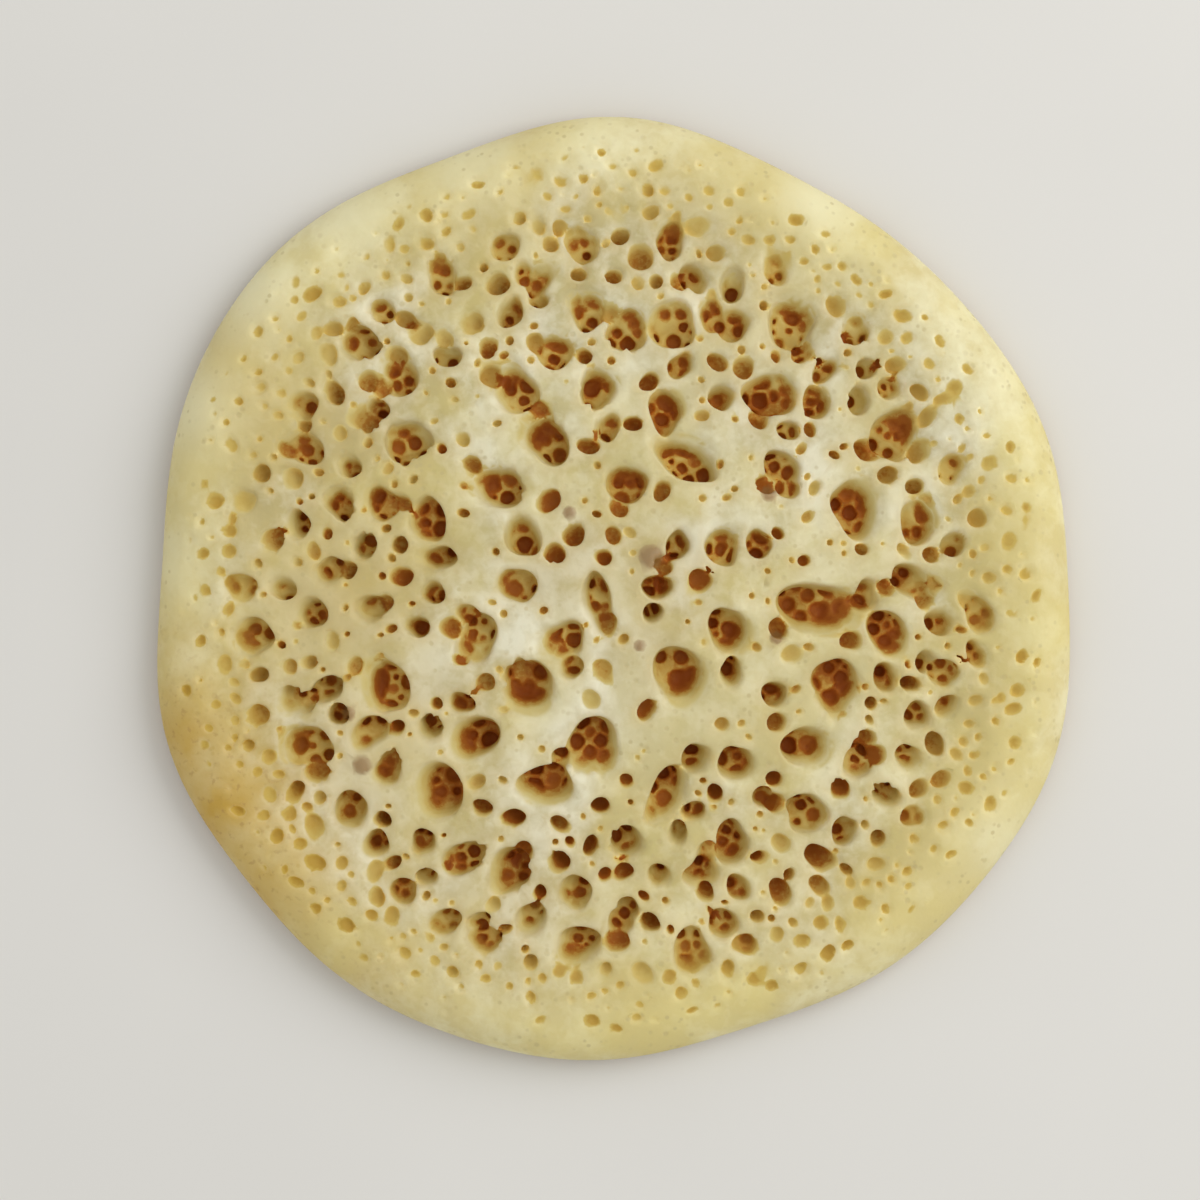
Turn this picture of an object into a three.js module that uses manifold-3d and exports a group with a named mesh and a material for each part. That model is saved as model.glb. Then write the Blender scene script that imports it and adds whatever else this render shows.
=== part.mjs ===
// A qatayef pancake: a round of leavened batter, cooked on one side only.
// Its underside is flat and its border is plump and closed. Inside the border the top
// is open, with a deep pore wherever a bubble of gas burst through the skin.
// Millimetres, +Z up. The origin is under the middle of the pancake, on the face it rests on.
import * as THREE from "three";
import { mergeVertices } from "three/addons/utils/BufferGeometryUtils.js";
import Module from "manifold-3d";

// The round of batter.
const MEAN_RADIUS = 50;
const BORDER_HEIGHT = 6.0;
const CENTRE_HEIGHT = 5.3;
const BORDER_BEGINS = 0.68; // shares of the way from the middle to the outline
const BORDER_CRESTS = 0.88;
const WIDEST_HEIGHT = 2.1; // the outline is widest here, a third of the way up
const TOP_ROUND = 5.5; // how far in the edge rolls over to the top
const BASE_ROUND = 1.3; // how far in it tucks under to the base

// The batter ran unevenly: each run adds so many waves round the outline, each a share
// of the mean radius high, with one crest at the bearing given in degrees.
const OUTLINE_RUNS = [
  { waves: 2, share: 0.009, crest: 119 },
  { waves: 3, share: 0.013, crest: 111 },
  { waves: 4, share: 0.005, crest: 54 },
  { waves: 6, share: 0.011, crest: 24 },
  { waves: 7, share: 0.005, crest: 38 },
  { waves: 10, share: 0.005, crest: 18 },
];

// The skin settled in broad swells: height, distance between crests and heading in degrees.
const SKIN_SWELLS = [
  { height: 0.2, spacing: 37, heading: 25 },
  { height: 0.16, spacing: 23, heading: 115 },
  { height: 0.1, spacing: 14, heading: 70 },
];

// The largest pores, where bubbles joined before they burst: bearing in degrees, share of
// the way out, width, length, and the bearing of the long axis.
const WELLS = [
  [77, 0.59, 5.0, 5.4, 120],
  [56, 0.71, 5.0, 5.3, 90],
  [51, 0.56, 4.7, 5.6, 0],
  [29, 0.7, 4.8, 5.2, 90],
  [19, 0.56, 5.0, 6.7, 115],
  [13, 0.68, 3.6, 5.0, 100],
  [60, 0.34, 4.2, 7.6, 150],
  [81, 0.23, 3.8, 4.1, 0],
  [86, 0.55, 4.4, 4.4, 0],
  [93, 0.43, 4.0, 4.5, 100],
  [112, 0.35, 4.3, 5.2, 120],
  [136, 0.32, 4.5, 5.5, 150],
  [158, 0.42, 3.6, 4.9, 90],
  [115, 0.48, 4.8, 5.2, 90],
  [134, 0.63, 4.0, 4.4, 90],
  [143, 0.53, 4.5, 4.8, 0],
  [146, 0.22, 3.6, 5.1, 120],
  [199, 0.3, 4.5, 5.4, 80],
  [226, 0.14, 4.3, 4.5, 0],
  [217, 0.03, 3.0, 6.4, 100],
  [228, 0.26, 5.0, 5.6, 0],
  [203, 0.51, 4.1, 5.8, 95],
  [207, 0.72, 4.2, 4.9, 0],
  [227, 0.42, 4.6, 5.0, 30],
  [264, 0.33, 5.6, 6.6, 100],
  [252, 0.43, 4.3, 5.9, 0],
  [229, 0.56, 5.6, 6.0, 90],
  [356, 0.45, 5.6, 8.6, 0],
  [343, 0.26, 4.2, 4.6, 70],
  [311, 0.22, 5.2, 5.4, 0],
  [338, 0.51, 4.7, 5.8, 90],
  [352, 0.6, 4.0, 4.9, 110],
  [286, 0.46, 3.8, 7.2, 65],
  [312, 0.63, 4.2, 4.5, 0],
  [265, 0.75, 3.6, 5.0, 0],
  [250, 0.63, 4.4, 5.2, 60],
];

// Between them lie the common pores, of two kinds. Each kind fills its ring with sites wound
// outwards as the seeds of a sunflower are, and every pore strays from its site by chance.
const STRAY_SEED = 2026;
const COMMON_PORES = [
  { sites: 60, narrowest: 3.1, widest: 4.3, inner: 0.12, outer: 0.76 },
  { sites: 60, narrowest: 2.2, widest: 3.0, inner: 0.08, outer: 0.58 },
  { sites: 180, narrowest: 2.3, widest: 3.1, inner: 0.58, outer: 0.79 },
];
const LONGEST_PORE = 1.4; // length over width
const LEAST_WALL = 0.55; // between one pore and the next
const GOLDEN_ANGLE = Math.PI * (3 - Math.sqrt(5));

// A pore goes nearly to the base inside the border and stays shallow on it. The gas rose
// outwards, so its foot lies nearer the middle of the pancake than its mouth.
const DEEP_FLOOR = 1.5;
const SHALLOW_FLOOR = 4.2;
const LEAN = 0.32;
// Half a pore's section, from the middle of its floor to above its mouth: shares of its
// half width and of its depth. A well's mouth flares, a common pore's only widens.
const WELL_SHAPE = {
  sides: 8,
  section: [[0, 0], [0.72, 0.12], [0.9, 0.8], [1.3, 1.2], [0, 1.5]],
};
const COMMON_SHAPE = {
  sides: 6,
  section: [[0, 0], [0.75, 0.15], [1.08, 1.2], [0, 1.5]],
};

const AROUND = 56; // steps round the outline
const DOUGH_RINGS = [0.82, 0.66, 0.46, 0.24];

function turned(degrees) {
  return THREE.MathUtils.degToRad(degrees);
}

/** How far out the edge of the pancake lies at a bearing in radians. */
function outlineRadius(bearing) {
  let share = 1;
  for (const run of OUTLINE_RUNS) {
    share += run.share * Math.cos(run.waves * (bearing - turned(run.crest)));
  }
  return MEAN_RADIUS * share;
}

/** Height of the skin over the base, away from the edge. */
function skinHeight(x, y) {
  const out = Math.hypot(x, y) / outlineRadius(Math.atan2(y, x));
  const border = THREE.MathUtils.smoothstep(out, BORDER_BEGINS, BORDER_CRESTS);
  let height = THREE.MathUtils.lerp(CENTRE_HEIGHT, BORDER_HEIGHT, border);
  for (const swell of SKIN_SWELLS) {
    const heading = turned(swell.heading);
    const along = x * Math.cos(heading) + y * Math.sin(heading);
    height += swell.height * Math.sin((2 * Math.PI * along) / swell.spacing);
  }
  return height;
}

/** Numbers from 0 to 1 by chance, the same ones for the same seed. */
function dice(seed) {
  let state = seed;
  return () => {
    state = (1664525 * state + 1013904223) % 4294967296;
    return state / 4294967296;
  };
}

/** A pore with its mouth at x and y, its sizes, and the direction of its long axis in radians. */
function poreAt(x, y, width, length, turn, shape) {
  const share = Math.hypot(x, y) / outlineRadius(Math.atan2(y, x));
  return { x, y, share, width, length, turn, shape };
}

function layOutWells() {
  return WELLS.map(([degrees, share, width, length, turn]) => {
    const bearing = turned(degrees);
    const out = share * outlineRadius(bearing);
    const x = out * Math.cos(bearing);
    const y = out * Math.sin(bearing);
    return poreAt(x, y, width, length, turned(turn), WELL_SHAPE);
  });
}

/** The wells, then each common pore that leaves a wall to every pore before it. */
function layOutPores() {
  const pores = layOutWells();
  const roll = dice(STRAY_SEED);
  for (const kind of COMMON_PORES) {
    const ringArea = kind.outer ** 2 - kind.inner ** 2;
    const stray = MEAN_RADIUS * Math.sqrt((Math.PI * ringArea) / kind.sites);
    for (let site = 0; site < kind.sites; site++) {
      const out = MEAN_RADIUS * Math.sqrt(kind.inner ** 2 + (ringArea * site) / kind.sites);
      const x = out * Math.cos(site * GOLDEN_ANGLE) + stray * (roll() - 0.5);
      const y = out * Math.sin(site * GOLDEN_ANGLE) + stray * (roll() - 0.5);
      const width = THREE.MathUtils.lerp(kind.narrowest, kind.widest, roll());
      const length = width * THREE.MathUtils.lerp(1, LONGEST_PORE, roll());
      const pore = poreAt(x, y, width, length, Math.PI * roll(), COMMON_SHAPE);
      if (pores.every((other) => wallBetween(pore, other) > LEAST_WALL)) {
        pores.push(pore);
      }
    }
  }
  return pores;
}

function wallBetween(pore, other) {
  const apart = Math.hypot(pore.x - other.x, pore.y - other.y);
  return apart - (pore.width + pore.length + other.width + other.length) / 4;
}

/** Half a section of the round, as shares of its radius and height, from base to top. */
function doughProfile() {
  const points = [[0, 0]];
  const baseSteps = 3;
  const topSteps = 5;
  for (let i = 0; i <= baseSteps; i++) {
    const angle = (i / baseSteps) * (Math.PI / 2);
    const inFromEdge = BASE_ROUND * (1 - Math.sin(angle));
    points.push([1 - inFromEdge / MEAN_RADIUS, WIDEST_HEIGHT * (1 - Math.cos(angle))]);
  }
  for (let i = 1; i <= topSteps; i++) {
    const angle = (i / topSteps) * (Math.PI / 2);
    const inFromEdge = TOP_ROUND * (1 - Math.cos(angle));
    const height = THREE.MathUtils.lerp(WIDEST_HEIGHT, BORDER_HEIGHT, Math.sin(angle));
    points.push([1 - inFromEdge / MEAN_RADIUS, height]);
  }
  for (const ring of DOUGH_RINGS) {
    points.push([ring, BORDER_HEIGHT]);
  }
  points.push([0, BORDER_HEIGHT]);
  return points.map(([share, height]) => new THREE.Vector2(share, height));
}

/** The round of batter before any bubble burst: a lathe run out to the uneven outline. */
function doughGeometry() {
  const geometry = new THREE.LatheGeometry(doughProfile(), AROUND);
  geometry.rotateX(Math.PI / 2);
  const places = geometry.getAttribute("position");
  for (let i = 0; i < places.count; i++) {
    const radius = outlineRadius(Math.atan2(places.getY(i), places.getX(i)));
    const x = places.getX(i) * radius;
    const y = places.getY(i) * radius;
    const level = places.getZ(i);
    const rise = Math.max(0, level - WIDEST_HEIGHT) / (BORDER_HEIGHT - WIDEST_HEIGHT);
    const low = Math.min(level, WIDEST_HEIGHT);
    places.setXYZ(i, x, y, low + rise * (skinHeight(x, y) - WIDEST_HEIGHT));
  }
  return geometry;
}

/** The space of one pore: a round-bottomed cup with a flared mouth, leaning outwards. */
function poreGeometry(pore) {
  const skin = skinHeight(pore.x, pore.y);
  const border = THREE.MathUtils.smoothstep(pore.share, BORDER_BEGINS, BORDER_CRESTS);
  const floor = THREE.MathUtils.lerp(DEEP_FLOOR, SHALLOW_FLOOR, border);
  const section = pore.shape.section.map(([out, up]) => new THREE.Vector2(out, up - 1));
  const geometry = new THREE.LatheGeometry(section, pore.shape.sides);
  geometry.rotateX(Math.PI / 2);
  geometry.scale(pore.length / 2, pore.width / 2, skin - floor);
  geometry.rotateZ(pore.turn);
  const away = Math.hypot(pore.x, pore.y);
  const lean = LEAN * pore.share;
  const shear = new THREE.Matrix4().set(
    1, 0, (lean * pore.x) / away, 0,
    0, 1, (lean * pore.y) / away, 0,
    0, 0, 1, 0,
    0, 0, 0, 1,
  );
  geometry.applyMatrix4(shear);
  geometry.translate(pore.x, pore.y, skin);
  return geometry;
}

const wasm = await Module();
wasm.setup();

/** A closed geometry as a solid that can be cut. */
function solidOf(geometry) {
  geometry.deleteAttribute("normal");
  geometry.deleteAttribute("uv");
  const merged = mergeVertices(geometry, 1e-4);
  return new wasm.Manifold(
    new wasm.Mesh({
      numProp: 3,
      vertProperties: merged.getAttribute("position").array,
      triVerts: new Uint32Array(merged.index.array),
    }),
  );
}

/** A solid as a geometry that can be drawn. */
function geometryOf(solid) {
  const mesh = solid.getMesh();
  const geometry = new THREE.BufferGeometry();
  geometry.setAttribute("position", new THREE.BufferAttribute(mesh.vertProperties, 3));
  geometry.setIndex(new THREE.BufferAttribute(mesh.triVerts, 1));
  geometry.computeVertexNormals();
  return geometry;
}

/** The pancake: the round of batter with every pore cut from it, its middle on the origin. */
function makePancake() {
  let solid = solidOf(doughGeometry());
  for (const pore of layOutPores()) {
    solid = solid.subtract(solidOf(poreGeometry(pore)));
  }
  const crumb = new THREE.MeshStandardMaterial({ color: 0xe3d6a2, roughness: 0.6, metalness: 0 });
  const pancake = new THREE.Mesh(geometryOf(solid), crumb);
  pancake.name = "pancake";
  pancake.geometry.computeBoundingBox();
  const middle = pancake.geometry.boundingBox.getCenter(new THREE.Vector3());
  pancake.position.set(-middle.x, -middle.y, 0);
  return pancake;
}

const qatayef = new THREE.Group();
qatayef.add(makePancake());

export default qatayef;
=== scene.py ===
"""The looks of a qatayef pancake: a round of leavened batter, cooked on one side only.

The batter is worked out in millimetres, as its recipe is, with +Z up from the griddle.
The round is filled into a block of small cubes, every burst bubble is hollowed out of
it, and the skin that is left is drawn over the block as one closed mesh in metres.
"""

import logging
import math
from dataclasses import dataclass, field
from enum import Enum

import bpy
import numpy as np
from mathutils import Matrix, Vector


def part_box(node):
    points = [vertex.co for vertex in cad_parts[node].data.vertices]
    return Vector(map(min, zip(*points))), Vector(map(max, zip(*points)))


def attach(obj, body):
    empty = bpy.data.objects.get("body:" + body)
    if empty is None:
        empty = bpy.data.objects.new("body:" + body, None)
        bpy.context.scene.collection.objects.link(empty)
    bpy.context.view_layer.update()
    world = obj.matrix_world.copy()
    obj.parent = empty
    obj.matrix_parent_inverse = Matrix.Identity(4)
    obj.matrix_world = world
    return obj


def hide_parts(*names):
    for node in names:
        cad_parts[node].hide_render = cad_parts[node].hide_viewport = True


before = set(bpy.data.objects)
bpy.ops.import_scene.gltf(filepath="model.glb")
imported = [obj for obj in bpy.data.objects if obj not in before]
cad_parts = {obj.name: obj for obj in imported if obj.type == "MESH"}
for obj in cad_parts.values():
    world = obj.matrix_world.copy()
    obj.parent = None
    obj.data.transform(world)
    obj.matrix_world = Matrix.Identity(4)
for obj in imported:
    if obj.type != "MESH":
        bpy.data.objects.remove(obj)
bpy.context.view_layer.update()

LOG = logging.getLogger("qatayef")
MM = 0.001
GOLDEN_ANGLE = math.pi * (3 - math.sqrt(5))

Grid = np.ndarray
Span = tuple[float, float]
Spot = tuple[float, float]
Colour = tuple[float, float, float]
Stops = tuple[tuple[float, Colour], ...]


def smoothstep(value: Grid | float, low: float, high: float) -> Grid:
    """Rises smoothly from 0 at low to 1 at high, or falls if low is the higher.

    Args:
        value: Where to read the curve.
        low: Value at which the curve is 0.
        high: Value at which the curve is 1.

    Returns:
        The curve's height at each value.
    """
    t = np.clip((value - low) / (high - low), 0.0, 1.0)
    return t * t * (3.0 - 2.0 * t)


def lerp(start: float, end: float, share: float) -> float:
    """The value a share of the way from start to end."""
    return start + (end - start) * share


def polar(out: float, bearing: float) -> Spot:
    """The place some way out on a bearing in radians."""
    return out * math.cos(bearing), out * math.sin(bearing)


def advance(x: Grid, y: Grid, heading: float) -> Grid:
    """How far each place lies along a heading in radians."""
    return x * math.cos(heading) + y * math.sin(heading)


def meet_round(a: Grid, b: Grid, radius: Grid | float) -> Grid:
    """What two solids have in common, with the edge between them rounded off.

    Args:
        a: Distance to the first solid's surface, negative inside it.
        b: The same for the second solid.
        radius: Radius of the rounded edge.

    Returns:
        Distance to the surface of the common part.
    """
    corner = np.hypot(np.maximum(a + radius, 0.0), np.maximum(b + radius, 0.0))
    return np.minimum(np.maximum(a, b), -radius) + corner


def put(name: str, data: bpy.types.ID) -> bpy.types.Object:
    """Makes an object of some data, and puts it in the scene.

    Args:
        name: The object's name.
        data: Its mesh, lamp or camera data.

    Returns:
        The object.
    """
    made = bpy.data.objects.new(name, data)
    bpy.context.scene.collection.objects.link(made)
    return made


class Dice:
    """Numbers from 0 to 1 by chance, the same ones for the same seed."""

    FACTOR, ADDED, STATES = 1664525, 1013904223, 2**32
    ALL_ROUND = 6.3

    def __init__(self, seed: int) -> None:
        """Starts a run of numbers from a seed."""
        self.state = seed

    def roll(self) -> float:
        """The next number."""
        self.state = (self.FACTOR * self.state + self.ADDED) % self.STATES
        return self.state / self.STATES

    def between(self, low: float, high: float) -> float:
        """The next number, spread over a range."""
        return lerp(low, high, self.roll())

    def turn(self) -> float:
        """The next number, as a turn in radians."""
        return self.between(0, self.ALL_ROUND)


@dataclass(frozen=True)
class Run:
    """One way in which the batter ran unevenly: waves round the outline."""

    waves: int
    share: float
    crest: float


@dataclass(frozen=True)
class Swell:
    """One set of broad low waves across the skin."""

    height: float
    spacing: float
    heading: float


@dataclass
class Batter:
    """The round of batter before any bubble burst, in millimetres."""

    mean_radius: float = 50.0
    border_height: float = 6.0
    centre_height: float = 5.3
    border: Span = (0.68, 0.88)
    widest_height: float = 2.1
    top_round: float = 5.5
    base_round: float = 1.3
    runs: tuple[Run, ...] = (
        Run(2, 0.009, 119),
        Run(3, 0.013, 111),
        Run(4, 0.005, 54),
        Run(6, 0.011, 24),
        Run(7, 0.005, 38),
        Run(10, 0.005, 18),
    )
    swells: tuple[Swell, ...] = (
        Swell(0.20, 37, 25),
        Swell(0.16, 23, 115),
        Swell(0.10, 14, 70),
    )

    def outline_radius(self, bearing: Grid | float) -> Grid:
        """How far out the edge lies.

        Args:
            bearing: Bearing from the middle, in radians.

        Returns:
            The distance from the middle to the edge.
        """
        share = 1.0
        for run in self.runs:
            turned = bearing - math.radians(run.crest)
            share = share + run.share * np.cos(run.waves * turned)
        return self.mean_radius * share

    def share_out(self, x: Grid, y: Grid) -> Grid:
        """How far out a place is: 0 in the middle, 1 on the outline."""
        return np.hypot(x, y) / self.outline_radius(np.arctan2(y, x))

    def spot(self, degrees: float, share: float) -> Spot:
        """The place at a bearing and a share of the way out."""
        bearing = math.radians(degrees)
        return polar(share * float(self.outline_radius(bearing)), bearing)

    def skin_height(self, x: Grid, y: Grid) -> Grid:
        """Height of the skin over the griddle, away from the edge.

        Args:
            x: Place along X.
            y: Place along Y.

        Returns:
            The height there.
        """
        border = smoothstep(self.share_out(x, y), *self.border)
        height = self.centre_height + (self.border_height - self.centre_height) * border
        for swell in self.swells:
            along = advance(x, y, math.radians(swell.heading))
            height = height + swell.height * np.sin(math.tau * along / swell.spacing)
        return height

    def solid(self, x: Grid, y: Grid, z: Grid, skin: Grid) -> Grid:
        """Distance to the surface of the whole round, negative inside it.

        Args:
            x: Places along X, as a block's first axis.
            y: Places along Y, as its second.
            z: Heights, as its third.
            skin: Height of the skin at each x and y.

        Returns:
            The distance at every place in the block.
        """
        inward = (self.outline_radius(np.arctan2(y, x)) - np.hypot(x, y))[..., None]
        above = z >= self.widest_height
        turn_in = np.where(above, self.top_round, self.base_round)
        tall = np.where(above, skin[..., None] - self.widest_height, self.widest_height)
        out = np.maximum(turn_in - inward, 0.0) / turn_in
        up = np.abs(z - self.widest_height) / tall
        return ((np.hypot(out, up) - 1.0) * tall).astype(np.float32)


class Depth(Enum):
    """How far down a pore goes."""

    FOAM = "to a floor with the cells of the crumb in it"
    CHANNEL = "well into the crumb, as one cell"
    SHALLOW = "a little way in"


@dataclass
class Pore:
    """One burst bubble: its mouth in the skin and its size, then how it was shaped."""

    x: float
    y: float
    share: float
    width: float
    length: float
    turn: float
    depth: Depth = Depth.FOAM
    floor: float = 0.0
    tone: float = 1.0
    lip: float = 0.0
    slope: float = 0.0
    lean: float = 0.0
    tilt: float = 0.0
    heading: float = 0.0
    flare: float = 0.0
    ragged: bool = False
    wobble: tuple[tuple[int, float, float], ...] = ()

    @property
    def mean_width(self) -> float:
        """Width of the round pore that takes the same room."""
        return (self.width + self.length) / 2


@dataclass(frozen=True)
class PoreKind:
    """A kind of pore that fills a ring of the pancake, and how its pores differ."""

    name: str
    sites: int
    narrowest: float
    widest: float
    inner: float
    outer: float
    wall: float = 0.55
    longest: float = 1.4
    shallow: float = 0.0
    joined: float = 0.0


@dataclass(frozen=True)
class Well:
    """One of the largest pores, by its bearing and its share of the way out."""

    degrees: float
    share: float
    width: float
    length: float
    turn: float


@dataclass(frozen=True)
class Dome:
    """A bubble that never burst, by its bearing and its share of the way out."""

    degrees: float
    share: float
    width: float


@dataclass(frozen=True)
class Growth:
    """A measure that grows with a pore's width up to a most, and varies by chance."""

    least: float
    per_width: float
    most: float = math.inf
    varies: Span = (1.0, 1.0)

    def usual(self, width: float) -> float:
        """What it usually is for a pore of some width."""
        return min(self.most, self.least + self.per_width * width)

    def roll(self, width: float, dice: Dice) -> float:
        """What it comes out at, by chance, for a pore of some width."""
        return self.usual(width) * dice.between(*self.varies)


@dataclass(frozen=True)
class Habits:
    """How pores' depth, colour and mouth differ with their place, width and chance."""

    wettest_side: float = math.radians(262)
    wetter: float = 0.22
    wet_ring: Span = (0.3, 0.6)
    wet_depth: float = 0.6
    border: Span = (0.72, 0.88)
    foam_depth: float = 1.65
    foam_varies: Span = (-0.3, 0.3)
    channel: Growth = Growth(0.4, 0.72, 1.75, (0.75, 1.05))
    shallow: Growth = Growth(0.0, 0.9, 0.8, (0.6, 1.1))
    dimple: Growth = Growth(0.07, 0.16, 0.9)
    lip: Growth = Growth(0.09, 0.025)
    border_lip: float = 2.6
    slope: Growth = Growth(0.0, 0.3, 1.4, (0.3, 1.5))
    flare: Growth = Growth(0.0, 0.07, varies=(0.2, 1.6))
    tones: tuple[tuple[Depth, Span], ...] = (
        (Depth.FOAM, (0.5, 1.3)),
        (Depth.CHANNEL, (1.5, 2.3)),
        (Depth.SHALLOW, (0.8, 1.6)),
    )
    border_tones: Span = (0.5, 1.5)
    paler: float = 0.2
    paler_ring: Span = (0.6, 0.76)
    lean: float = 0.3
    lean_inside: float = 0.25
    leans: Span = (0.5, 1.4)
    tilts: Span = (0.05, 0.3)
    outer_ring: Span = (0.35, 0.7)
    foam_steeper: float = 0.05
    cell_steeper: float = 0.3
    headings: Span = (-0.8, 0.8)
    torn: float = 0.3
    torn_from: float = 1.6
    least_uneven: float = 0.25
    uneven_from: float = 3.5
    waves: tuple[tuple[int, float], ...] = ((2, 0.08), (3, 0.08), (4, 0.035), (5, 0.02))
    wave_sizes: Span = (0.2, 1.0)


@dataclass
class PoreField:
    """Where every bubble burst. The wide pores lie where the part's own pores lie."""

    batter: Batter
    habits: Habits = Habits()
    stray_seed: int = 2026
    look_seed: int = 77
    wells: tuple[Well, ...] = (
        Well(77, 0.59, 5.0, 5.4, 120),
        Well(56, 0.71, 5.0, 5.3, 90),
        Well(51, 0.56, 4.7, 5.6, 0),
        Well(29, 0.7, 4.8, 5.2, 90),
        Well(19, 0.56, 5.0, 6.7, 115),
        Well(13, 0.68, 3.6, 5.0, 100),
        Well(60, 0.34, 4.2, 7.6, 150),
        Well(81, 0.23, 3.8, 4.1, 0),
        Well(86, 0.55, 4.4, 4.4, 0),
        Well(93, 0.43, 4.0, 4.5, 100),
        Well(112, 0.35, 4.3, 5.2, 120),
        Well(136, 0.32, 4.5, 5.5, 150),
        Well(158, 0.42, 3.6, 4.9, 90),
        Well(115, 0.48, 4.8, 5.2, 90),
        Well(134, 0.63, 4.0, 4.4, 90),
        Well(143, 0.53, 4.5, 4.8, 0),
        Well(146, 0.22, 3.6, 5.1, 120),
        Well(199, 0.3, 4.5, 5.4, 80),
        Well(226, 0.14, 4.3, 4.5, 0),
        Well(217, 0.03, 3.0, 6.4, 100),
        Well(228, 0.26, 5.0, 5.6, 0),
        Well(203, 0.51, 4.1, 5.8, 95),
        Well(207, 0.72, 4.2, 4.9, 0),
        Well(227, 0.42, 4.6, 5.0, 30),
        Well(264, 0.33, 5.6, 6.6, 100),
        Well(252, 0.43, 4.3, 5.9, 0),
        Well(229, 0.56, 5.6, 6.0, 90),
        Well(356, 0.45, 5.6, 8.6, 0),
        Well(343, 0.26, 4.2, 4.6, 70),
        Well(311, 0.22, 5.2, 5.4, 0),
        Well(338, 0.51, 4.7, 5.8, 90),
        Well(352, 0.6, 4.0, 4.9, 110),
        Well(286, 0.46, 3.8, 7.2, 65),
        Well(312, 0.63, 4.2, 4.5, 0),
        Well(265, 0.75, 3.6, 5.0, 0),
        Well(250, 0.63, 4.4, 5.2, 60),
    )
    wide_kinds: tuple[PoreKind, ...] = (
        PoreKind("wide", 60, 3.1, 4.3, 0.12, 0.76),
        PoreKind("middle", 60, 2.2, 3.0, 0.08, 0.58),
        PoreKind("ring", 180, 2.3, 3.1, 0.58, 0.79),
    )
    small_kinds: tuple[PoreKind, ...] = (
        PoreKind("twin", 281, 1.6, 2.5, 0.08, 0.75, joined=1.0),
        PoreKind("narrow", 850, 1.45, 2.35, 0.06, 0.81, 0.28, 1.5, 0.2, 0.1),
        PoreKind("dimple", 900, 0.8, 1.9, 0.8, 0.97, 0.28, 1.5, 1.0),
        PoreKind("fine", 480, 0.85, 1.4, 0.06, 0.9, 0.26, 1.6, 0.4, 0.1),
        PoreKind("pin", 1000, 0.45, 0.85, 0.05, 0.975, 0.22, 1.5, 0.6),
    )
    overlap: Span = (0.2, 0.45)
    foam_width: float = 2.2
    foam_widths: Span = (0.85, 1.35)
    wide_shallow: float = 0.03
    always_deep: float = 4.0
    least_burst: float = 0.4
    more_burst: float = 0.6
    crowded_ring: Span = (0.35, 0.62)
    fewer: float = 0.4
    fewer_ring: Span = (0.82, 0.9)
    domes: tuple[Dome, ...] = (
        Dome(36, 0.155, 2.6),
        Dome(33, 0.42, 1.6),
        Dome(207, 0.61, 1.5),
        Dome(215, 0.64, 2.0),
        Dome(120, 0.16, 1.4),
        Dome(300, 0.13, 1.2),
        Dome(345, 0.37, 1.4),
    )
    dome_wall: float = 0.35
    dome_tries: int = 400
    dome_stray: float = 0.15
    pores: list[Pore] = field(default_factory=list)
    blisters: list[Pore] = field(default_factory=list)

    def place(self, x: float, y: float, width: float, length: float, turn: float) -> Pore:
        """A pore with its mouth at x and y, and its share of the way out worked out."""
        return Pore(x, y, float(self.batter.share_out(x, y)), width, length, turn)

    def lay_out_wells(self) -> None:
        """Puts down the largest pores, from their bearings and shares of the way out."""
        for well in self.wells:
            x, y = self.batter.spot(well.degrees, well.share)
            turn = math.radians(well.turn)
            self.pores.append(self.place(x, y, well.width, well.length, turn))

    def room(self, pore: Pore) -> float:
        """How much wall a new pore leaves to its nearest neighbour.

        Args:
            pore: The new pore.

        Returns:
            The wall's width, negative where the pore opens into the neighbour.
        """
        return min(
            math.hypot(pore.x - other.x, pore.y - other.y)
            - (pore.mean_width + other.mean_width) / 2
            for other in self.pores + self.blisters
        )

    def fits(self, pore: Pore, kind: PoreKind, dice: Dice) -> bool:
        """Whether a pore leaves its kind's wall round it, or opens into its neighbour.

        Args:
            pore: The new pore.
            kind: Its kind.
            dice: Where the chances come from.

        Returns:
            True if it fits.
        """
        room = self.room(pore)
        if kind.joined and dice.roll() < kind.joined:
            least, most = self.overlap
            return -most * pore.mean_width < room < -least * pore.mean_width
        return room > kind.wall

    def scatter(self, kind: PoreKind, dice: Dice) -> None:
        """Winds a kind's sites out as a sunflower's seeds, and lets each pore stray.

        Args:
            kind: The kind of pore to scatter.
            dice: Where the chances come from.
        """
        ring = kind.outer**2 - kind.inner**2
        radius = self.batter.mean_radius
        stray = radius * math.sqrt(math.pi * ring / kind.sites)
        for site in range(kind.sites):
            out = radius * math.sqrt(kind.inner**2 + ring * site / kind.sites)
            x, y = polar(out, site * GOLDEN_ANGLE)
            x += stray * (dice.roll() - 0.5)
            y += stray * (dice.roll() - 0.5)
            width = dice.between(kind.narrowest, kind.widest)
            length = width * dice.between(1, kind.longest)
            pore = self.place(x, y, width, length, math.pi * dice.roll())
            if self.fits(pore, kind, dice):
                self.pores.append(pore)

    def crowding(self, share: float) -> float:
        """What share of the small pores' sites burst, this far out.

        Args:
            share: The share of the way out.

        Returns:
            The share that burst: most of them in the ring inside the border.
        """
        fewer = 1 - self.fewer * smoothstep(share, *self.fewer_ring)
        ring = smoothstep(share, *self.crowded_ring) * fewer
        return float(self.least_burst + self.more_burst * ring)

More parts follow.
